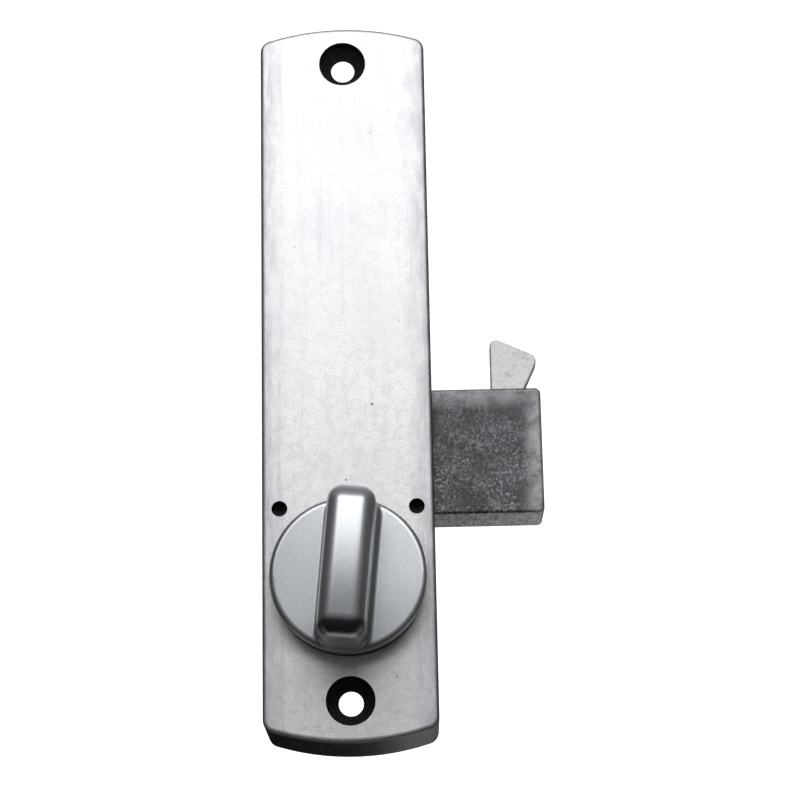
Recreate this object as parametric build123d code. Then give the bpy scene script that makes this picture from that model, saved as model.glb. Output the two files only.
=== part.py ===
"""Thumbturn hook latch for a sliding door: inside unit with its side latch case.

Row frame, millimetres: X to the right (towards the hook), Z up, -Y towards the user.
The mounting face lies in the plane Y = 0 and the origin is the centre of that face.
Turning the thumbturn clockwise drives a slide plate down through a pinion and rack, and a
second rack on the slide swings the hook back into its case. A coil spring lifts the slide again.
"""
from build123d import *
import os
from math import acos, cos, degrees, pi, radians, sin, sqrt, tan

os.makedirs("parts", exist_ok=True)

# ---- driving dimensions -------------------------------------------------------------------
WIDTH = 40.0             # body and cover, across
LENGTH = 175.5           # body and cover, arc to arc
END_RADIUS = 60.0        # arc of the two ends
CORNER_RADIUS = 3.0
DEPTH = 24.0             # mounting face to cover face
COVER_T = 1.4
COVER_EDGE = 1.0         # rounding of the cover's front edge
WALL = 1.6
FRONT_WALL = 3.6
GASKET_T = 1.0
BACK_PLATE_T = 1.5

SCREW_SPACING = 156.6    # the two fixing screws
SCREW_WELL_R = 5.65
SCREW_HOLE_R = 2.85
SEAT_LAND = 0.4          # straight part of the screw hole below its cone
SIGHT_R = 7.2            # clear space behind each screw hole
TOP_NOTCH = -10.8        # Y to which the top wall is open behind the upper screw

KNOB_Z = -50.5
KNOB_R = 18.0
KNOB_GAP = 0.3
KNOB_DISC = 7.2          # collar and silver disc together
COLLAR_T = 4.6           # black collar behind the silver disc
COLLAR_R = 17.7
COLLAR_BORE = 8.0
GRIP_WIDTH = 11.0
GRIP_END = 16.6          # grip height above the disc where its ends begin to round
GRIP_CROWN = 17.6        # grip height above the disc at the middle
GRIP_END_R = 5.2         # rounding of the ends, seen from the side
GRIP_EDGE_R = 3.6
GRIP_ROOT_R = 1.6
GRIP_LEAN = 5.6          # degrees clockwise at rest
SPINDLE_R = 4.0
BUSH_R = 6.0
BUSH_CLEARANCE = 0.05

SIDE_HOLE_X, SIDE_HOLE_Z, SIDE_HOLE_R = 15.9, -33.3, 1.85

CASE_LEFT, CASE_RIGHT = -18.0, 45.8
CASE_TOP, CASE_BOTTOM = -3.6, -34.1
CASE_FRONT = -18.5       # Y of the case's front face
CASE_BACK = -5.5
CASE_WALL = 1.2
CASE_COVER_T = 1.5
CASE_GAP = 0.2           # clearance between case and housing

MODULE = 0.8
PRESSURE = radians(25)
ADDENDUM = 0.8 * MODULE
DEDENDUM = 1.05 * MODULE
BACKLASH = 0.14
SPINDLE_TEETH = 17
HOOK_TEETH = 10
SPINDLE_PITCH = SPINDLE_TEETH * MODULE / 2
HOOK_PITCH = HOOK_TEETH * MODULE / 2
HOOK_SWING = radians(80)
TRAVEL = HOOK_PITCH * HOOK_SWING     # stroke of the slide plate

HOOK_X, HOOK_Z = 41.2, CASE_TOP - 7.5
HOOK_T = 4.2
HOOK_PIN_R = 2.0
RUNNING = 0.08           # running clearance, on radius

GEAR_BACK = CASE_BACK - CASE_WALL - 0.2
GEAR_T = 3.0
GEAR_FRONT = GEAR_BACK - GEAR_T
BLADE_BACK = GEAR_FRONT - 0.15
BLADE_FRONT = BLADE_BACK - HOOK_T

FACE = -DEPTH                        # Y of the cover's front face
COVER_BACK = FACE + COVER_T
INNER_FRONT = COVER_BACK + FRONT_WALL
RIM = -GASKET_T                      # Y of the housing's rear rim

SPRING_TOP, SPRING_BOTTOM = -58.0, -69.5
SPRING_X = 10.0
SPRING_R, SPRING_WIRE = 1.9, 0.25


# ---- helpers ------------------------------------------------------------------------------
def at(y):
    """Sketch plane at depth y whose local axes are row X and row Z, extruding towards the user."""
    return Plane(origin=(0, y, 0), x_dir=(1, 0, 0), z_dir=(0, -1, 0))


def slab(sketch, y_back, y_front):
    """Solid of an X-Z sketch between two depths."""
    return extrude(at(y_back) * sketch, y_back - y_front)


def disc(x, z, r, y_back, y_front):
    return slab(Pos(x, z) * Circle(r), y_back, y_front)


def block(x0, x1, z0, z1, y_back, y_front):
    return slab(Pos((x0 + x1) / 2, (z0 + z1) / 2) * Rectangle(x1 - x0, z1 - z0), y_back, y_front)


def outline(inset=0.0):
    """Body outline: straight sides and shallow arcs at both ends, moved in by inset."""
    half, end, radius = WIDTH / 2 - inset, LENGTH / 2 - inset, END_RADIUS - inset
    corner = max(CORNER_RADIUS - inset, 0.6)
    centre = end - radius
    shoulder = centre + sqrt(radius**2 - half**2)
    edges = [
        ThreePointArc((-half, shoulder), (0, end), (half, shoulder)),
        Line((half, shoulder), (half, -shoulder)),
        ThreePointArc((half, -shoulder), (0, -end), (-half, -shoulder)),
        Line((-half, -shoulder), (-half, shoulder)),
    ]
    face = make_face(Wire(edges))
    return fillet(face.vertices(), corner)


def save(shape, name):
    shape = shape if isinstance(shape, (Compound, Solid, Part)) else Compound(shape)
    export_step(shape, f"parts/{name}.step")


def involute_gear(teeth, phase, kept=None):
    """Gear outline; phase is the direction of tooth space 0, in radians. Tooth k follows space k.

    kept names the teeth of a sector gear; the rest of its rim stays at root radius.
    """
    pitch, base = teeth * MODULE / 2, teeth * MODULE / 2 * cos(PRESSURE)
    tip, root = pitch + ADDENDUM, pitch - DEDENDUM
    half_tooth = (pi * MODULE / 2 - BACKLASH) / (2 * pitch)
    involute = tan(PRESSURE) - PRESSURE

    def half_angle(r):
        a = acos(min(1.0, base / max(r, base)))
        return half_tooth + involute - (tan(a) - a)

    steps = 5
    radii = [root - 0.15] + [base + (tip - base) * i / steps for i in range(steps + 1)]
    shape = Sketch() + Circle(root)
    for k in kept if kept is not None else range(teeth):
        middle = phase + (k + 0.5) * 2 * pi / teeth
        flank = [(r, middle - half_angle(r)) for r in radii]
        flank += [(r, middle + half_angle(r)) for r in reversed(radii)]
        shape += make_face(Polyline(*[(r * cos(a), r * sin(a)) for r, a in flank], close=True))
    return shape


def rack_teeth(pitch_x, z_contact, z_low, z_high, side):
    """Rack teeth as a face. One tooth is centred on z_contact; side is +1 if they point to +X."""
    pitch = pi * MODULE
    half = (pi * MODULE / 2 - BACKLASH) / 2
    grow = tan(PRESSURE)
    first = int((z_low - z_contact) / pitch) - 1
    last = int((z_high - z_contact) / pitch) + 1
    teeth = []
    for k in range(first, last + 1):
        z = z_contact + k * pitch
        if z - half - 0.5 < z_low or z + half + 0.5 > z_high:
            continue
        tip, root = half - ADDENDUM * grow, half + DEDENDUM * grow
        teeth.append(make_face(Polyline(
            (pitch_x - side * (DEDENDUM + 0.05), z - root), (pitch_x + side * ADDENDUM, z - tip),
            (pitch_x + side * ADDENDUM, z + tip), (pitch_x - side * (DEDENDUM + 0.05), z + root),
            close=True)))
    return teeth


# ---- cover, housing, back plate and gasket ------------------------------------------------
def front_cover():
    body = slab(outline(), COVER_BACK, FACE)
    rim = body.faces().sort_by(Axis.Y)[0].edges()
    body = fillet(rim, COVER_EDGE)
    for z in (SCREW_SPACING / 2, -SCREW_SPACING / 2):
        body -= disc(0, z, SCREW_WELL_R, COVER_BACK, FACE)
    for x in (SIDE_HOLE_X, -SIDE_HOLE_X):
        body -= disc(x, SIDE_HOLE_Z, SIDE_HOLE_R, COVER_BACK, FACE)
    body -= disc(0, KNOB_Z, BUSH_R, COVER_BACK, FACE)
    for x, z in COVER_SCREWS:
        body += disc(x, z, 2.4, COVER_BACK + 2.2, COVER_BACK)
        body -= disc(x, z, 1.25, COVER_BACK + 2.2, COVER_BACK + 0.1)
    return body


SIDE_SEAT = INNER_FRONT - 0.8        # Y where the case screw heads bear
COVER_SCREWS = [(x, z) for x in (-12.0, 12.0) for z in (-74.0, 66.0)]
PLATE_SCREWS = [(x, z) for x in (-15.6, 15.6) for z in (-64.0, 58.0)]
CASE_REAR_SCREWS = [(-14.5, -7.5), (-14.5, -26.0), (3.0, -7.5), (3.0, -28.0), (42.4, -29.4)]
GUIDE_PINS = [(16.5, -22.0), (29.0, -22.0)]


def rear_housing():
    body = slab(outline(), RIM, COVER_BACK)
    body -= slab(outline(WALL), RIM, INNER_FRONT)
    for z in (SCREW_SPACING / 2, -SCREW_SPACING / 2):
        seat = INNER_FRONT - SEAT_LAND
        body -= disc(0, z, SCREW_HOLE_R, INNER_FRONT, COVER_BACK)
        height = (SCREW_WELL_R - SCREW_HOLE_R) * 0.75
        body -= disc(0, z, SCREW_WELL_R, seat - height, COVER_BACK)
        cone = Cone(SCREW_HOLE_R, SCREW_WELL_R, height)
        body -= Pos(0, seat - height / 2, z) * Rot(90, 0, 0) * cone
    for x in (SIDE_HOLE_X, -SIDE_HOLE_X):
        body -= disc(x, SIDE_HOLE_Z, SIDE_HOLE_R, SIDE_SEAT, COVER_BACK)
        body -= disc(x, SIDE_HOLE_Z, 1.3, INNER_FRONT, SIDE_SEAT)
    body -= disc(0, KNOB_Z, BUSH_R, INNER_FRONT, COVER_BACK)
    for x, z in COVER_SCREWS:
        body -= disc(x, z, 1.25, INNER_FRONT, COVER_BACK)
        body -= disc(x, z, 2.45, COVER_BACK + 2.2, COVER_BACK)
    for x, z in PLATE_SCREWS:
        body += disc(x, z, 2.6, RIM - BACK_PLATE_T, INNER_FRONT)
        body -= disc(x, z, 1.25, RIM - BACK_PLATE_T, RIM - BACK_PLATE_T - 8)
    # shelf under the return spring, then the notches behind the upper screw and around the case
    body += block(6.0, WIDTH / 2 - WALL, SPRING_BOTTOM - 1.6, SPRING_BOTTOM, -2.8, INNER_FRONT)
    body -= block(-SIGHT_R, SIGHT_R, SCREW_SPACING / 2, LENGTH, RIM, TOP_NOTCH)
    body -= block(10, 30, CASE_BOTTOM - CASE_GAP, CASE_TOP + CASE_GAP, RIM, CASE_FRONT - CASE_GAP)
    return body


def back_plate():
    """Steel sheet between the two fixing screws, with a lip that closes the notch behind the case."""
    inset = WALL + 0.25
    sheet = outline(inset) & Rectangle(WIDTH, 2 * 68.0)
    body = slab(sheet, RIM, RIM - BACK_PLATE_T)
    body -= disc(0, KNOB_Z, 7.2, RIM, RIM - BACK_PLATE_T)
    edge = WIDTH / 2 - WALL
    body += block(edge - 2, edge + 1.3, CASE_BOTTOM, CASE_TOP, RIM, RIM - BACK_PLATE_T)
    body += block(edge, edge + 1.3, CASE_BOTTOM, CASE_TOP, RIM, CASE_BACK + CASE_GAP)
    for x, z in PLATE_SCREWS:
        body -= disc(x, z, 1.6, RIM, RIM - BACK_PLATE_T)
    return body


def gasket():
    body = slab(outline(0.2), 0, RIM)
    body -= disc(0, KNOB_Z, 8.0, 0, RIM)
    near, far = SCREW_SPACING / 2 - SIGHT_R, LENGTH
    body -= block(-SIGHT_R, SIGHT_R, near, far, 0, RIM)
    body -= slab(outline(WALL), 0, RIM) & block(-SIGHT_R, SIGHT_R, -far, -near, 0, RIM)
    for x, z in PLATE_SCREWS:
        body -= disc(x, z, 2.6, 0, RIM)
    return body


def screw(x, z, y_head, y_tip, shank, head, head_t, toward):
    """Pan screw along Y with a cross recess; toward is +1 if its head faces +Y."""
    body = disc(x, z, head, max(y_head, y_head - toward * head_t), min(y_head, y_head - toward * head_t))
    body += disc(x, z, shank, max(y_head, y_tip), min(y_head, y_tip))
    deep = (y_head, y_head - toward * head_t * 0.6)
    for w, h in ((head * 1.2, 0.5), (0.5, head * 1.2)):
        body -= block(x - w / 2, x + w / 2, z - h / 2, z + h / 2, max(deep), min(deep))
    return body


def group(pieces):
    return Compound(children=[p if isinstance(p, Solid) else p.solids()[0] for p in pieces])


# ---- thumbturn ----------------------------------------------------------------------------
def thumbturn_knob():
    back, front = FACE - KNOB_GAP, FACE - KNOB_GAP - KNOB_DISC
    plate = disc(0, 0, KNOB_R, back - COLLAR_T, front)
    plate = fillet(plate.edges().filter_by(GeomType.CIRCLE).sort_by(Axis.Y)[0], 1.3)
    plate += disc(0, 0, COLLAR_BORE, back, back - COLLAR_T)
    reach = KNOB_R - 0.6
    low, end, crown = -front - 1, -front + GRIP_END, -front + GRIP_CROWN
    side = Plane(origin=(-GRIP_WIDTH / 2, 0, 0), x_dir=(0, 0, 1), z_dir=(1, 0, 0))
    # seen from the side: local x is row Z, local y is row -Y
    profile = make_face(Wire([
        Line((-reach, low), (-reach, end)),
        ThreePointArc((-reach, end), (0, crown), (reach, end)),
        Line((reach, end), (reach, low)),
        Line((reach, low), (-reach, low)),
    ]))
    profile = fillet([v for v in profile.vertices() if abs(v.Y) > end - 0.01], GRIP_END_R)
    grip = extrude(side * profile, GRIP_WIDTH)
    rim = [e for e in grip.edges()
           if abs(abs(e.center().X) - GRIP_WIDTH / 2) < 0.01 and e.center().Y < front + 0.9]
    grip = fillet(rim, GRIP_EDGE_R)
    body = plate + grip
    root = [e for e in body.edges() if abs(e.center().Y - front) < 0.05 and e.length > 20
            and abs(abs(e.center().X) - GRIP_WIDTH / 2) < 0.3]
    body = fillet(root, GRIP_ROOT_R)
    body -= disc(0, 0, SPINDLE_R, back, back - 6.0)
    body -= grub_hole(SPINDLE_R - 1, COLLAR_BORE + 1)
    return Pos(0, 0, KNOB_Z) * Rot(0, GRIP_LEAN, 0) * body


def knob_collar():
    back = FACE - KNOB_GAP
    body = disc(0, 0, COLLAR_R, back, back - COLLAR_T) - disc(0, 0, COLLAR_BORE, back, back - COLLAR_T)
    body -= grub_hole(COLLAR_BORE - 1, KNOB_R + 1)
    return Pos(0, 0, KNOB_Z) * Rot(0, GRIP_LEAN, 0) * body


GRUB_Y = FACE - KNOB_GAP - 2.4


def grub_hole(r_low, r_high, radius=1.5):
    """Radial cylinder in the knob's own frame, on the side away from the floor."""
    return Pos(0, GRUB_Y, (r_low + r_high) / 2) * Cylinder(radius, r_high - r_low)


def knob_grub_screw():
    body = grub_hole(SPINDLE_R - 0.6, SPINDLE_R + 5.0)
    body -= Pos(0, GRUB_Y, SPINDLE_R + 4.0) * extrude(RegularPolygon(0.85, 6), 1.0)
    return Pos(0, 0, KNOB_Z) * Rot(0, GRIP_LEAN, 0) * body


CLIP_GROOVE = (INNER_FRONT + 1.75, INNER_FRONT + 2.45)


def spindle():
    body = disc(0, KNOB_Z, SPINDLE_R, GEAR_BACK, FACE - KNOB_GAP - 6.0)
    ring = disc(0, KNOB_Z, SPINDLE_R + 1, CLIP_GROOVE[1], CLIP_GROOVE[0])
    ring -= disc(0, KNOB_Z, SPINDLE_R - 0.7, CLIP_GROOVE[1], CLIP_GROOVE[0])
    body -= ring
    return body - Pos(0, 0, KNOB_Z) * Rot(0, GRIP_LEAN, 0) * grub_hole(SPINDLE_R - 0.6, SPINDLE_R + 1)


def spindle_clip():
    y0, y1 = CLIP_GROOVE[1] - 0.05, CLIP_GROOVE[0] + 0.05
    body = disc(0, KNOB_Z, 6.2, y0, y1) - disc(0, KNOB_Z, SPINDLE_R - 0.65, y0, y1)
    body -= block(-2.4, 2.4, KNOB_Z - 8, KNOB_Z, y0, y1)
    return body


def spindle_bush():
    flange = disc(0, KNOB_Z, 8.0, INNER_FRONT + 1.2, INNER_FRONT)
    body = flange + disc(0, KNOB_Z, BUSH_R, INNER_FRONT, FACE)
    return body - disc(0, KNOB_Z, SPINDLE_R + BUSH_CLEARANCE, INNER_FRONT + 1.2, FACE)


def thrust_washer():
    y0, y1 = INNER_FRONT + 1.70, INNER_FRONT + 1.25
    return disc(0, KNOB_Z, 7.0, y0, y1) - disc(0, KNOB_Z, SPINDLE_R + 0.1, y0, y1)


def drive_pinion():
    teeth = Pos(0, KNOB_Z) * involute_gear(SPINDLE_TEETH, 0.0)
    body = slab(teeth, GEAR_BACK, GEAR_FRONT)
    return body - disc(0, KNOB_Z, SPINDLE_R, GEAR_BACK, GEAR_FRONT)


def drive_hub():
    """Rear hub with the slot that takes the outside unit's flat tail bar."""
    body = disc(0, KNOB_Z, 6.4, -0.4, GEAR_BACK)
    return body - block(-4.6, 4.6, KNOB_Z - 1.3, KNOB_Z + 1.3, -0.4, GEAR_BACK - 0.01)


# ---- latch case ---------------------------------------------------------------------------
SLOT_LEFT, SLOT_RIGHT = 20.2, 44.3


def case_body():
    front = CASE_FRONT + CASE_COVER_T
    body = block(CASE_LEFT, CASE_RIGHT, CASE_BOTTOM, CASE_TOP, CASE_BACK, front)
    side = [e for e in body.edges().filter_by(Axis.Y) if e.center().X > 40]
    body = fillet(side, 1.4)
    body -= block(CASE_LEFT + CASE_WALL, CASE_RIGHT - CASE_WALL, CASE_BOTTOM + CASE_WALL,
                  CASE_TOP - CASE_WALL, CASE_BACK - CASE_WALL, front)
    for x in (SIDE_HOLE_X, -SIDE_HOLE_X):
        body += disc(x, SIDE_HOLE_Z, 2.2, CASE_BACK, front)
        body -= disc(x, SIDE_HOLE_Z, 1.2, front + 6.0, front)
    # slot for the hook in the top wall, and the opening where the slide leaves the case
    body -= block(SLOT_LEFT, SLOT_RIGHT, CASE_TOP - 2, CASE_TOP + 1,
                  BLADE_BACK + 0.15, front)
    body -= block(6.8, 13.2, CASE_BOTTOM - 1, CASE_BOTTOM + 2, CASE_BACK - CASE_WALL, front)
    for x, z in CASE_REAR_SCREWS:
        body -= disc(x, z, 1.3, CASE_BACK, CASE_BACK - CASE_WALL)
    for x, z in GUIDE_PINS:
        body -= disc(x, z, 1.5, CASE_BACK, CASE_BACK - CASE_WALL)
    body -= disc(HOOK_X, HOOK_Z, HOOK_PIN_R, CASE_BACK, CASE_BACK - CASE_WALL)
    return body


def case_cover():
    y1 = CASE_FRONT + CASE_COVER_T
    body = block(CASE_LEFT, CASE_RIGHT, CASE_BOTTOM, CASE_TOP, y1, CASE_FRONT)
    side = [e for e in body.edges().filter_by(Axis.Y) if e.center().X > 40]
    body = fillet(side, 1.4)
    front = [e for e in body.faces().sort_by(Axis.Y)[0].edges() if e.center().X > CASE_LEFT + 1]
    body = fillet(front, 0.8)
    for x in (SIDE_HOLE_X, -SIDE_HOLE_X):
        body += disc(x, SIDE_HOLE_Z, 2.2, y1, INNER_FRONT)
        body -= disc(x, SIDE_HOLE_Z, 1.3, y1, INNER_FRONT)
    body += block(SLOT_LEFT + 0.1, SLOT_RIGHT - 0.1, CASE_TOP - CASE_WALL, CASE_TOP, BLADE_FRONT - 0.25, y1)
    for x, z in CASE_REAR_SCREWS:
        body += disc(x, z, 2.0, CASE_BACK - CASE_WALL, y1)
        body -= disc(x, z, 0.9, CASE_BACK - CASE_WALL, y1 - 0.4)
    body -= disc(HOOK_X, HOOK_Z, HOOK_PIN_R, y1, y1 - 0.8)
    return body


def case_rear_screws():
    made = []
    for x, z in CASE_REAR_SCREWS:
        made.append(screw(x, z, CASE_BACK + 1.0, CASE_FRONT + CASE_COVER_T + 1.0, 0.9, 2.1, 1.0, 1))
    return group(made)


def hook_pivot_pin():
    return disc(HOOK_X, HOOK_Z, HOOK_PIN_R, CASE_BACK, CASE_FRONT + CASE_COVER_T - 0.75)


def slide_guide_pins():
    made = []
    for x, z in GUIDE_PINS:
        made.append(disc(x, z, 1.5, CASE_BACK, GEAR_FRONT - 0.3) +
                    disc(x, z, 2.6, GEAR_FRONT - 0.3, GEAR_FRONT - 1.0))
    return group(made)


def case_screws():
    """Socket screws deep in the two small holes; they hold the case to the housing."""
    made = []
    for x in (SIDE_HOLE_X, -SIDE_HOLE_X):
        body = disc(x, SIDE_HOLE_Z, 1.7, SIDE_SEAT, SIDE_SEAT - 0.9)
        body += disc(x, SIDE_HOLE_Z, 1.2, CASE_FRONT + CASE_COVER_T + 5.0, SIDE_SEAT)
        socket = Pos(x, SIDE_HOLE_Z) * RegularPolygon(0.85, 6)
        made.append(body - slab(socket, SIDE_SEAT - 0.2, SIDE_SEAT - 0.9))
    return group(made)


# ---- hook and slide -----------------------------------------------------------------------
def hook_head():
    """Head outline in X-Z: locking face to the left, lead-in slope to the right."""
    foot = CASE_TOP - 1.45
    shape = make_face(Polyline((34.2, foot), (34.2, 10.7), (45.9, 5.3), (41.1, foot), close=True))
    tip = [v for v in shape.vertices() if v.Y > 10]
    shape = fillet(tip, 1.6)
    return fillet([v for v in shape.vertices() if v.X > 45.6], 2.2)


def hook_bolt():
    head = slab(hook_head(), BLADE_BACK, BLADE_FRONT)
    sides = head.faces().sort_by(Axis.Y)
    head = fillet(sides[0].edges() + sides[-1].edges(), 0.5)
    foot = CASE_TOP - 1.0
    web = make_face(Polyline((34.7, foot), (41.2, foot), (HOOK_X + 2.4, HOOK_Z + 2.0),
                             (HOOK_X + 1.0, HOOK_Z - 3.0), (HOOK_X - 3.0, HOOK_Z - 1.0), close=True))
    body = head + slab(web, BLADE_BACK, BLADE_FRONT)
    body += slab(Pos(HOOK_X, HOOK_Z) * involute_gear(HOOK_TEETH, pi, (0, -1, -2, -3)), GEAR_BACK, GEAR_FRONT)
    body += disc(HOOK_X, HOOK_Z, 3.1, GEAR_BACK, CASE_FRONT + CASE_COVER_T + 0.2)
    return body - disc(HOOK_X, HOOK_Z, HOOK_PIN_R + RUNNING, CASE_BACK, CASE_FRONT)


def slide_plate():
    rack_root = HOOK_X - HOOK_PITCH - DEDENDUM
    leg_root = SPINDLE_PITCH + DEDENDUM
    top = HOOK_Z + TRAVEL + 0.6
    shape = Pos((32.5 + rack_root) / 2, (top - 25.2) / 2) * Rectangle(rack_root - 32.5, top + 25.2)
    shape += Pos((leg_root + rack_root) / 2, -19.5) * Rectangle(rack_root - leg_root, 11.4)
    leg = Rectangle(12.4 - leg_root, -25.2 - SPRING_TOP)
    shape += Pos((leg_root + 12.4) / 2, (SPRING_TOP - 25.2) / 2) * leg
    for tooth in rack_teeth(HOOK_X - HOOK_PITCH, HOOK_Z, HOOK_Z - 3.5, top, 1):
        shape += tooth
    for tooth in rack_teeth(SPINDLE_PITCH, KNOB_Z, KNOB_Z - 3.5, KNOB_Z + TRAVEL + 3.5, -1):
        shape += tooth
    for x, z in GUIDE_PINS:
        shape -= Pos(x, z + TRAVEL / 2) * Rot(0, 0, 90) * SlotCenterToCenter(TRAVEL, 2 * (1.5 + RUNNING))
    return slab(shape, GEAR_BACK, GEAR_FRONT)


def return_spring():
    turns = 9
    pitch = (SPRING_TOP - SPRING_BOTTOM - 2 * SPRING_WIRE) / turns
    path = Helix(pitch, pitch * turns, SPRING_R)
    wire = Plane(origin=path @ 0, z_dir=path % 0) * Circle(SPRING_WIRE)
    coil = sweep(wire, path=path, is_frenet=True)
    return Pos(SPRING_X, (GEAR_BACK + GEAR_FRONT) / 2, SPRING_BOTTOM + SPRING_WIRE) * coil


# ---- screws -------------------------------------------------------------------------------
def cover_screws():
    return group([screw(x, z, INNER_FRONT + 1.3, COVER_BACK + 0.3, 1.25, 2.3, 1.3, 1)
                  for x, z in COVER_SCREWS])


def plate_screws():
    return group([screw(x, z, RIM + 0.8, RIM - BACK_PLATE_T - 6, 1.25, 2.4, 0.8, 1)
                  for x, z in PLATE_SCREWS])


BUILDERS = [
    front_cover, rear_housing, back_plate, gasket, cover_screws, plate_screws,
    thumbturn_knob, knob_collar, knob_grub_screw, spindle, spindle_bush, thrust_washer,
    spindle_clip, drive_pinion, drive_hub,
    case_body, case_cover, case_rear_screws, case_screws, hook_pivot_pin, slide_guide_pins,
    hook_bolt, slide_plate, return_spring,
]

for build in BUILDERS:
    save(build(), build.__name__)

print("slide travel", round(TRAVEL, 4), "thumbturn degrees", round(degrees(TRAVEL / SPINDLE_PITCH), 4))
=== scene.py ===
import bpy
from mathutils import Matrix, Vector


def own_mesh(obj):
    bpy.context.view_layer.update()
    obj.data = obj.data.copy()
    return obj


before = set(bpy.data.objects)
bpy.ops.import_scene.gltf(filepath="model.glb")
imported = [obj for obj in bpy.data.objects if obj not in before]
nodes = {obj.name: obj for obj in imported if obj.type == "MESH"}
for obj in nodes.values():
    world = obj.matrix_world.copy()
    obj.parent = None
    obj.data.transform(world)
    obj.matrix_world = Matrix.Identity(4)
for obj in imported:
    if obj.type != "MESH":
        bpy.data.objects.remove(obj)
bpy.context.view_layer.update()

SENSOR_MM = 36.0
LENS_MM = 108.16
CAMERA_AT = (0.0148, -0.56397, -0.16771)
CAMERA_RIGHT = (0.99977, 0.00995, -0.01922)
CAMERA_AHEAD = (-0.00408, 0.95877, 0.28416)

# Dark specks in the cover's paint: x, z and radius.
COVER_SPECKS = (
    (0.0059, -0.0085, 0.00045), (-0.0004, -0.0267, 0.00035), (-0.012, 0.031, 0.00022),
    (0.0065, 0.060, 0.0002), (-0.0075, -0.0205, 0.00018), (0.0125, 0.012, 0.0002),
    (0.0105, -0.073, 0.0003),
)
# Scratches on the case, one direction each: turn about Y, shift of the noise, level where they start.
CASE_SCRATCHES = ((0.45, 1.0, 0.655), (-0.8, 6.0, 0.66), (1.25, 11.0, 0.655), (2.2, 17.0, 0.67))


def rgb(r, g, b):
    return (r, g, b, 1.0)


# ---- node material helpers ------------------------------------------------------------------
class Mat:
    """A Principled material with short helpers for masks in object coordinates."""

    def __init__(self, name, metallic):
        self.material = bpy.data.materials.new(name)
        self.material.use_nodes = True
        self.tree = self.material.node_tree
        self.bsdf = self.tree.nodes["Principled BSDF"]
        self.bsdf.inputs["Metallic"].default_value = metallic
        self.coordinates = self.new("TexCoord")
        self.x, self.y, self.z = self.split("Object")

    def new(self, kind):
        return self.tree.nodes.new("ShaderNode" + kind)

    def put(self, value, socket):
        if isinstance(value, bpy.types.NodeSocket):
            self.tree.links.new(value, socket)
        else:
            socket.default_value = value

    def split(self, which):
        """The X, Y and Z of a texture coordinate: Object (the place) or Normal."""
        n = self.new("SeparateXYZ")
        self.put(self.coordinates.outputs[which], n.inputs[0])
        return tuple(n.outputs)

    def noise(self, scale, detail=3.0, rough=0.55, stretch=(1, 1, 1), shift=0.0, turn=0.0):
        """Noise turned about Y, then stretched along its own axes (a small number makes streaks)."""
        spin = self.new("Mapping")
        spin.inputs["Rotation"].default_value = (0.0, turn, 0.0)
        self.put(self.coordinates.outputs["Object"], spin.inputs["Vector"])
        spread = self.new("Mapping")
        spread.inputs["Scale"].default_value = stretch
        spread.inputs["Location"].default_value = (shift, shift * 0.7, shift * 1.3)
        self.put(spin.outputs[0], spread.inputs["Vector"])
        n = self.new("TexNoise")
        n.inputs["Scale"].default_value = scale
        n.inputs["Detail"].default_value = detail
        n.inputs["Roughness"].default_value = rough
        self.put(spread.outputs[0], n.inputs["Vector"])
        return n.outputs["Fac"]

    def ramp(self, value, lo, hi, a=0.0, b=1.0):
        """Value from lo..hi smoothly to a..b."""
        n = self.new("MapRange")
        n.interpolation_type = "SMOOTHSTEP"
        n.inputs["From Min"].default_value = lo
        n.inputs["From Max"].default_value = hi
        n.inputs["To Min"].default_value = a
        n.inputs["To Max"].default_value = b
        self.put(value, n.inputs["Value"])
        return n.outputs[0]

    def math(self, op, a, b=0.0):
        n = self.new("Math")
        n.operation = op
        self.put(a, n.inputs[0])
        self.put(b, n.inputs[1])
        return n.outputs[0]

    def times(self, a, b):
        return self.math("MULTIPLY", a, b)

    def plus(self, a, b):
        return self.math("ADD", a, b)

    def mix(self, fac, a, b):
        n = self.new("Mix")
        n.data_type = "RGBA"
        self.put(fac, n.inputs["Factor"])
        self.put(a, n.inputs[6])
        self.put(b, n.inputs[7])
        return n.outputs[2]

    def turned(self, lo, hi):
        """0 where the surface faces the front, 1 where a rounded edge has turned away from it."""
        return self.ramp(self.split("Normal")[1], lo, hi)

    def spot(self, x, z, radius):
        """1 inside a round spot at (x, z), fading at its rim."""
        dx = self.math("SUBTRACT", self.x, x)
        dz = self.math("SUBTRACT", self.z, z)
        distance = self.math("SQRT", self.plus(self.times(dx, dx), self.times(dz, dz)))
        return self.ramp(distance, radius * 0.6, radius, 1.0, 0.0)

    def finish(self, colour, grain, smooth, dull, height, strength, distance):
        """Base colour, roughness from smooth to dull along the grain, and bump from height."""
        self.put(colour, self.bsdf.inputs["Base Color"])
        self.put(self.ramp(grain, 0.3, 0.7, smooth, dull), self.bsdf.inputs["Roughness"])
        n = self.new("Bump")
        n.inputs["Strength"].default_value = strength
        n.inputs["Distance"].default_value = distance
        self.put(height, n.inputs["Height"])
        self.put(n.outputs[0], self.bsdf.inputs["Normal"])
        return self.material


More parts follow.
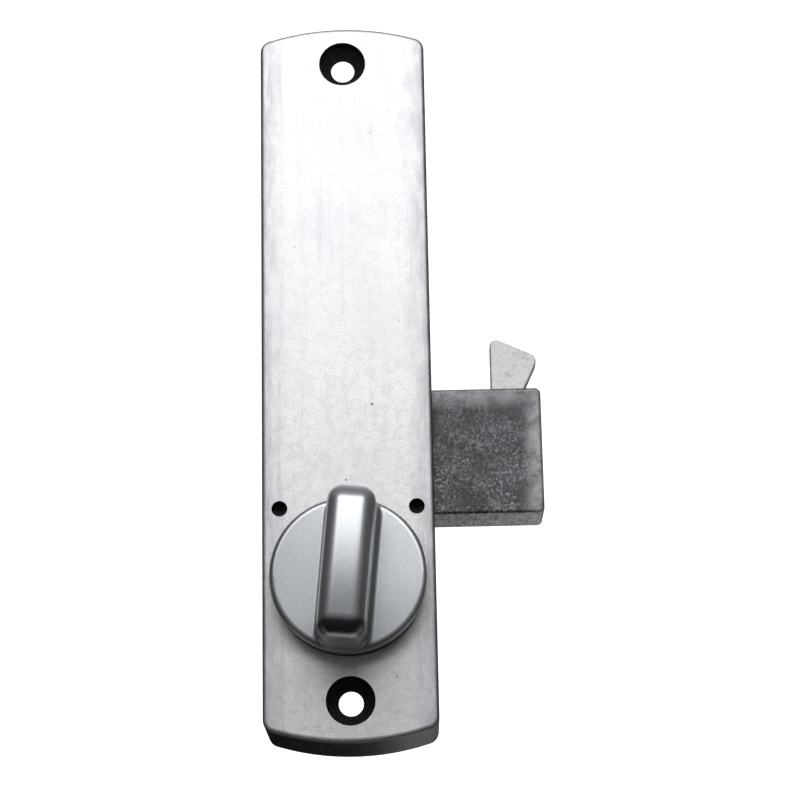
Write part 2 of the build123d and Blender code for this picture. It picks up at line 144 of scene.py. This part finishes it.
# ---- materials ------------------------------------------------------------------------------
def cover_paint():
    """Satin metallic paint: flake, orange peel, rubbed streaks and flanks, painted shade along the
    flanks, nicks, dark rims of painted shade.
    """
    m = Mat("cover_paint", 0.60)
    from_middle = m.math("ABSOLUTE", m.x)
    flake = m.noise(3000, 3.0, 0.65)
    peel = m.noise(900, 2.0)
    colour = m.mix(m.ramp(flake, 0.36, 0.66), rgb(0.54, 0.545, 0.55), rgb(0.86, 0.865, 0.86))

    mottle = m.times(m.ramp(m.noise(650, 4.0, 0.65, shift=2.0), 0.42, 0.66, 0.0, 0.40),
                     m.ramp(m.z, 0.03, -0.03, 0.55, 1.0))
    colour = m.mix(mottle, colour, rgb(0.47, 0.455, 0.49))
    cloud = m.ramp(m.noise(55, 3.0), 0.38, 0.68, 0.0, 0.30)
    colour = m.mix(cloud, colour, rgb(0.56, 0.555, 0.58))
    streak = m.ramp(m.noise(520, 4.0, 0.65, (1.0, 1.0, 0.04), 3.0), 0.52, 0.74, 0.0, 0.28)
    colour = m.mix(streak, colour, rgb(0.42, 0.42, 0.45))

    # painted shade: the face is darkened towards its left and right edges, broken up by noise
    painted_flank_shade = m.times(m.ramp(from_middle, 0.0130, 0.0198),
                    m.ramp(m.noise(330, 4.0, 0.65, (1, 1, 0.3), 4.0), 0.36, 0.62, 0.18, 0.62))
    colour = m.mix(painted_flank_shade, colour, rgb(0.30, 0.305, 0.32))
    foot = m.times(m.ramp(m.z, -0.045, -0.082, 0.0, 0.22),
                   m.ramp(m.noise(420, 4.0, 0.7, shift=15.0), 0.36, 0.62, 0.4, 1.0))
    colour = m.mix(foot, colour, rgb(0.40, 0.39, 0.43))
    rub = m.times(m.ramp(m.noise(900, 4.0, 0.7, (1.0, 1.0, 0.05), 9.0), 0.50, 0.66, 0.0, 0.45),
                  m.ramp(from_middle, 0.012, 0.019, 0.15, 1.0))
    colour = m.mix(rub, colour, rgb(0.36, 0.36, 0.385))

    smudged_area = m.times(m.times(m.ramp(m.z, 0.022, 0.048), m.ramp(m.z, 0.079, 0.066)),
                           m.ramp(m.x, -0.002, 0.010))
    smudge = m.ramp(m.noise(240, 5.0, 0.7, (1, 1, 0.35), 6.0), 0.48, 0.64, 0.0, 0.32)
    colour = m.mix(m.times(smudged_area, smudge), colour, rgb(0.40, 0.40, 0.43))
    nick = m.times(m.ramp(from_middle, 0.0185, 0.0199, 0.0, 0.65),
                   m.ramp(m.noise(700, 3.0, 0.6, (1, 1, 0.35), 5.0), 0.40, 0.60, 0.35, 1.0))
    colour = m.mix(nick, colour, rgb(0.22, 0.22, 0.235))
    # painted shade: rounded edges that turn away from the front are painted dark
    colour = m.mix(m.times(m.turned(-0.93, -0.55), 0.9), colour, rgb(0.07, 0.073, 0.08))
    for x, z, radius in COVER_SPECKS:
        colour = m.mix(m.times(m.spot(x, z, radius), 0.8), colour, rgb(0.10, 0.10, 0.11))

    height = m.plus(m.times(flake, 0.7), m.times(peel, 0.8))
    return m.finish(colour, flake, 0.36, 0.50, height, 0.35, 0.00005)


def knob_paint():
    """Smoother satin paint, with painted shade to the lower left and a painted dark reflection at the
    tip of the grip.
    """
    m = Mat("knob_paint", 0.80)
    flake = m.noise(3000, 3.0, 0.65)
    peel = m.noise(900, 2.0)
    colour = m.mix(m.ramp(flake, 0.34, 0.66), rgb(0.45, 0.47, 0.485), rgb(0.55, 0.57, 0.585))
    cloud = m.ramp(m.noise(150, 4.0, 0.6), 0.40, 0.70, 0.0, 0.35)
    colour = m.mix(cloud, colour, rgb(0.48, 0.50, 0.53))
    # painted shade: the knob is darkened towards its left side and its lower edge
    painted_lower_left_shade = m.math("MAXIMUM", m.ramp(m.x, 0.002, -0.018, 0.0, 0.45),
                   m.ramp(m.z, -0.048, -0.068, 0.0, 0.55))
    colour = m.mix(painted_lower_left_shade, colour, rgb(0.22, 0.23, 0.245))
    # painted dark reflection, only on the fillet at the lower end of the grip's front: it looks down
    # and forward
    downward = m.split("Normal")[2]
    fillet = m.times(m.ramp(downward, -0.12, -0.40), m.ramp(downward, -0.93, -0.75))
    painted_tip_reflection = m.times(fillet, m.ramp(m.y, -0.041, -0.045, 0.0, 0.85))
    colour = m.mix(painted_tip_reflection, colour, rgb(0.03, 0.032, 0.036))
    return m.finish(colour, flake, 0.31, 0.34, m.plus(flake, peel), 0.06, 0.00004)


def black_coat(name, roughness):
    """Black powder coat, rubber or plastic: pebbled surface, slight greying on high spots."""
    m = Mat(name, 0.0)
    grain = m.noise(2200, 2.0)
    colour = m.mix(m.ramp(grain, 0.45, 0.7), rgb(0.012, 0.013, 0.015), rgb(0.035, 0.036, 0.040))
    dust = m.ramp(m.noise(240, 5.0, 0.7), 0.60, 0.72, 0.0, 0.35)
    colour = m.mix(dust, colour, rgb(0.075, 0.078, 0.085))
    m.bsdf.inputs["Specular IOR Level"].default_value = 0.25
    return m.finish(colour, grain, roughness - 0.06, roughness + 0.1, grain, 0.4, 0.00006)


def scuffed_steel():
    """Dark, blotchy steel with pale scratches, a painted highlight along the top and right edges and
    underneath, and a painted dark top rim.
    """
    m = Mat("case_metal", 0.35)
    blotch = m.noise(300, 6.0, 0.70)
    colour = m.mix(m.ramp(blotch, 0.36, 0.66), rgb(0.010, 0.011, 0.014), rgb(0.062, 0.064, 0.070))

    # painted highlight: a lighter band along the top and right edges, broken into patches by noise
    painted_edge_highlight = m.math("MAXIMUM", m.ramp(m.z, -0.0095, -0.0045, 0.0, 0.8),
                    m.ramp(m.x, 0.0405, 0.0442, 0.0, 0.9))
    highlight_patchiness = m.ramp(m.noise(210, 9.0, 0.85, shift=21.0), 0.36, 0.58, 0.15, 1.0)
    colour = m.mix(m.times(painted_edge_highlight, highlight_patchiness), colour, rgb(0.40, 0.405, 0.415))
    mist = m.times(m.ramp(m.noise(1700, 6.0, 0.8, shift=12.0), 0.46, 0.62, 0.0, 0.9),
                   m.ramp(m.noise(170, 3.0, 0.6, shift=14.0), 0.36, 0.62, 0.2, 0.8))
    colour = m.mix(mist, colour, rgb(0.26, 0.265, 0.275))

    patches = m.times(m.ramp(m.noise(120, 3.0, 0.6, shift=2.0), 0.42, 0.60),
                      m.ramp(m.z, -0.012, -0.026, 0.30, 1.0))
    pale = m.ramp(m.noise(1300, 7.0, 0.80, shift=4.0), 0.52, 0.62, 0.0, 0.95)
    colour = m.mix(m.times(pale, patches), colour, rgb(0.50, 0.51, 0.53))
    for turn, shift, start in CASE_SCRATCHES:
        scratch = m.ramp(m.noise(2100, 4.0, 0.7, (1.0, 1.0, 0.13), shift, turn),
                         start - 0.012, start + 0.06, 0.0, 0.75)
        scratch = m.times(scratch, m.ramp(m.z, -0.008, -0.028, 0.35, 1.0))
        colour = m.mix(scratch, colour, rgb(0.42, 0.43, 0.45))

    # painted shade: the rounded top edge is painted dark where it turns away from the front
    painted_top_rim_shade = m.times(m.ramp(m.z, -0.0041, -0.0037, 0.0, 0.85), m.turned(-0.9, -0.5))
    colour = m.mix(painted_top_rim_shade, colour, rgb(0.03, 0.03, 0.033))
    # painted highlight: faces that look down are painted pale, with streaks
    painted_underside_highlight = m.times(m.ramp(m.split("Normal")[2], -0.7, -0.95),
                        m.ramp(m.noise(1000, 6.0, 0.80, (1, 0.25, 1)), 0.40, 0.58, 0.25, 1.0))
    colour = m.mix(painted_underside_highlight, colour, rgb(0.66, 0.66, 0.67))
    height = m.plus(blotch, m.times(m.noise(2600, 2.0), 0.4))
    return m.finish(colour, blotch, 0.36, 0.55, height, 0.40, 0.00010)


def cast_steel():
    """Pale cast metal: soft pits, slightly warm, a few darker scuffs, dark rims of painted shade."""
    m = Mat("hook_metal", 0.10)
    grain = m.noise(1500, 4.0, 0.6)
    colour = m.mix(m.ramp(grain, 0.35, 0.68), rgb(0.72, 0.69, 0.69), rgb(0.97, 0.935, 0.935))
    scuff = m.ramp(m.noise(330, 5.0, 0.7, shift=7.0), 0.57, 0.66, 0.0, 0.5)
    colour = m.mix(scuff, colour, rgb(0.42, 0.405, 0.41))
    # painted shade: rounded edges that turn away from the front are painted dark
    colour = m.mix(m.times(m.turned(-0.95, -0.6), 0.8), colour, rgb(0.10, 0.098, 0.10))
    return m.finish(colour, grain, 0.36, 0.56, grain, 0.6, 0.00012)


def plain_metal(name, dark, light, roughness, metallic=0.85):
    """Zinc plate, brass, spring wire or black oxide: mottled, with fine grain."""
    m = Mat(name, metallic)
    cloud = m.noise(420, 4.0, 0.6)
    grain = m.noise(3000, 2.0)
    colour = m.mix(m.ramp(cloud, 0.35, 0.66), rgb(*dark), rgb(*light))
    return m.finish(colour, grain, roughness - 0.07, roughness + 0.1, grain, 0.35, 0.00005)


steel = scuffed_steel()
zinc = plain_metal("zinc_plate", (0.42, 0.43, 0.45), (0.62, 0.63, 0.65), 0.32)
wire = plain_metal("spring_wire", (0.28, 0.28, 0.29), (0.42, 0.42, 0.43), 0.30)
brass = plain_metal("turned_brass", (0.52, 0.38, 0.17), (0.72, 0.56, 0.29), 0.28, 1.0)
oxide = plain_metal("black_oxide", (0.003, 0.003, 0.003), (0.010, 0.010, 0.011), 0.60, 0.0)

FINISH = {
    "front_cover": cover_paint(),
    "thumbturn_knob": knob_paint(),
    "rear_housing": black_coat("housing_coat", 0.30),
    "gasket": black_coat("gasket_rubber", 0.72),
    "knob_collar": black_coat("collar_plastic", 0.50),
    "case_body": steel,
    "case_cover": steel,
    "hook_bolt": cast_steel(),
    "spindle_bush": brass,
    "return_spring": wire,
    "spindle_clip": wire,
    "case_screws": oxide,
    "knob_grub_screw": oxide,
}
for name, piece in nodes.items():
    piece.data.materials.clear()
    piece.data.materials.append(FINISH.get(name, zinc))

# ---- the return spring gets a mesh of its own ---
spring = nodes["return_spring"]
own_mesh(spring)


# ---- stage: pale floor and backdrop, and dark cards that only reflections and bounces see ----
def plane(name, size, centre, normal, grey, glow=0.0):
    mesh = bpy.data.meshes.new(name)
    w, h = size[0] / 2, size[1] / 2
    mesh.from_pydata([(-w, -h, 0), (w, -h, 0), (w, h, 0), (-w, h, 0)], [], [(0, 1, 2, 3)])
    o = bpy.data.objects.new(name, mesh)
    bpy.context.scene.collection.objects.link(o)
    o.location = centre
    o.rotation_euler = Vector(normal).to_track_quat("Z", "Y").to_euler()
    m = bpy.data.materials.new(name)
    m.use_nodes = True
    b = m.node_tree.nodes["Principled BSDF"]
    b.inputs["Base Color"].default_value = rgb(grey, grey, grey)
    b.inputs["Roughness"].default_value = 0.8
    b.inputs["Specular IOR Level"].default_value = 0.0
    b.inputs["Emission Color"].default_value = rgb(1, 1, 1)
    b.inputs["Emission Strength"].default_value = glow
    mesh.materials.append(m)
    o.visible_camera = o.visible_shadow = not name.startswith("dark")
    o.visible_glossy = name != "backdrop"


plane("backdrop", (6, 6), (0, 2.6, 0.9), (0, -1, 0), 0.9, glow=1.0)
plane("floor", (6, 6), (0, 0, -0.8), (0, 0, 1), 0.80)
plane("dark_card_below", (1.2, 0.56), (0, -0.20, -0.36), (0, 0.2, 1), 0.02)
plane("dark_card_behind", (0.70, 0.56), (-0.315, 0.45, -0.335), (0, -1, 0), 0.02)
plane("dark_card_left", (0.7, 0.7), (-0.42, -0.02, 0.05), (1, 0, 0), 0.03)
plane("dark_card_right", (0.7, 0.7), (0.46, -0.02, 0.05), (-1, 0, 0), 0.03)


# ---- light ----------------------------------------------------------------------------------
def area(name, centre, target, size, power, colour=(1, 1, 1)):
    data = bpy.data.lights.new(name, "AREA")
    data.shape = "RECTANGLE"
    data.size, data.size_y = size
    data.energy = power
    data.color = colour
    o = bpy.data.objects.new(name, data)
    bpy.context.scene.collection.objects.link(o)
    o.location = centre
    o.visible_camera = False
    o.rotation_euler = (Vector(target) - Vector(centre)).to_track_quat("-Z", "Y").to_euler()


area("key", (0.0, -1.0, 0.60), (0, 0, 0.08), (1.2, 0.74), 9.3, (0.985, 0.99, 1.0))
area("back_fill", (0.3, 1.5, 0.9), (0, 0, 0), (1.4, 1.0), 18)
area("left_fill", (-1.3, 0.9, 0.4), (0, 0, 0), (0.9, 0.9), 3)
area("right_fill", (1.3, 0.9, 0.4), (0, 0, 0), (0.9, 0.9), 2.5)

world = bpy.data.worlds.new("studio")
world.use_nodes = True
bpy.context.scene.world = world
background = world.node_tree.nodes["Background"]
background.inputs["Color"].default_value = rgb(0.97, 0.97, 1.0)
background.inputs["Strength"].default_value = 0.20
bpy.context.scene.view_settings.view_transform = "Standard"

# ---- camera ---------------------------------------------------------------------------------
right = Vector(CAMERA_RIGHT).normalized()
ahead = Vector(CAMERA_AHEAD)
ahead = (ahead - right * ahead.dot(right)).normalized()
up = right.cross(ahead)
lens = bpy.data.cameras.new("camera")
lens.sensor_width = SENSOR_MM
lens.lens = LENS_MM
lens.clip_start = 0.01
camera = bpy.data.objects.new("camera", lens)
bpy.context.scene.collection.objects.link(camera)
facing = Matrix((right, up, -ahead)).transposed().to_4x4()
camera.matrix_world = Matrix.Translation(CAMERA_AT) @ facing
bpy.context.scene.camera = camera
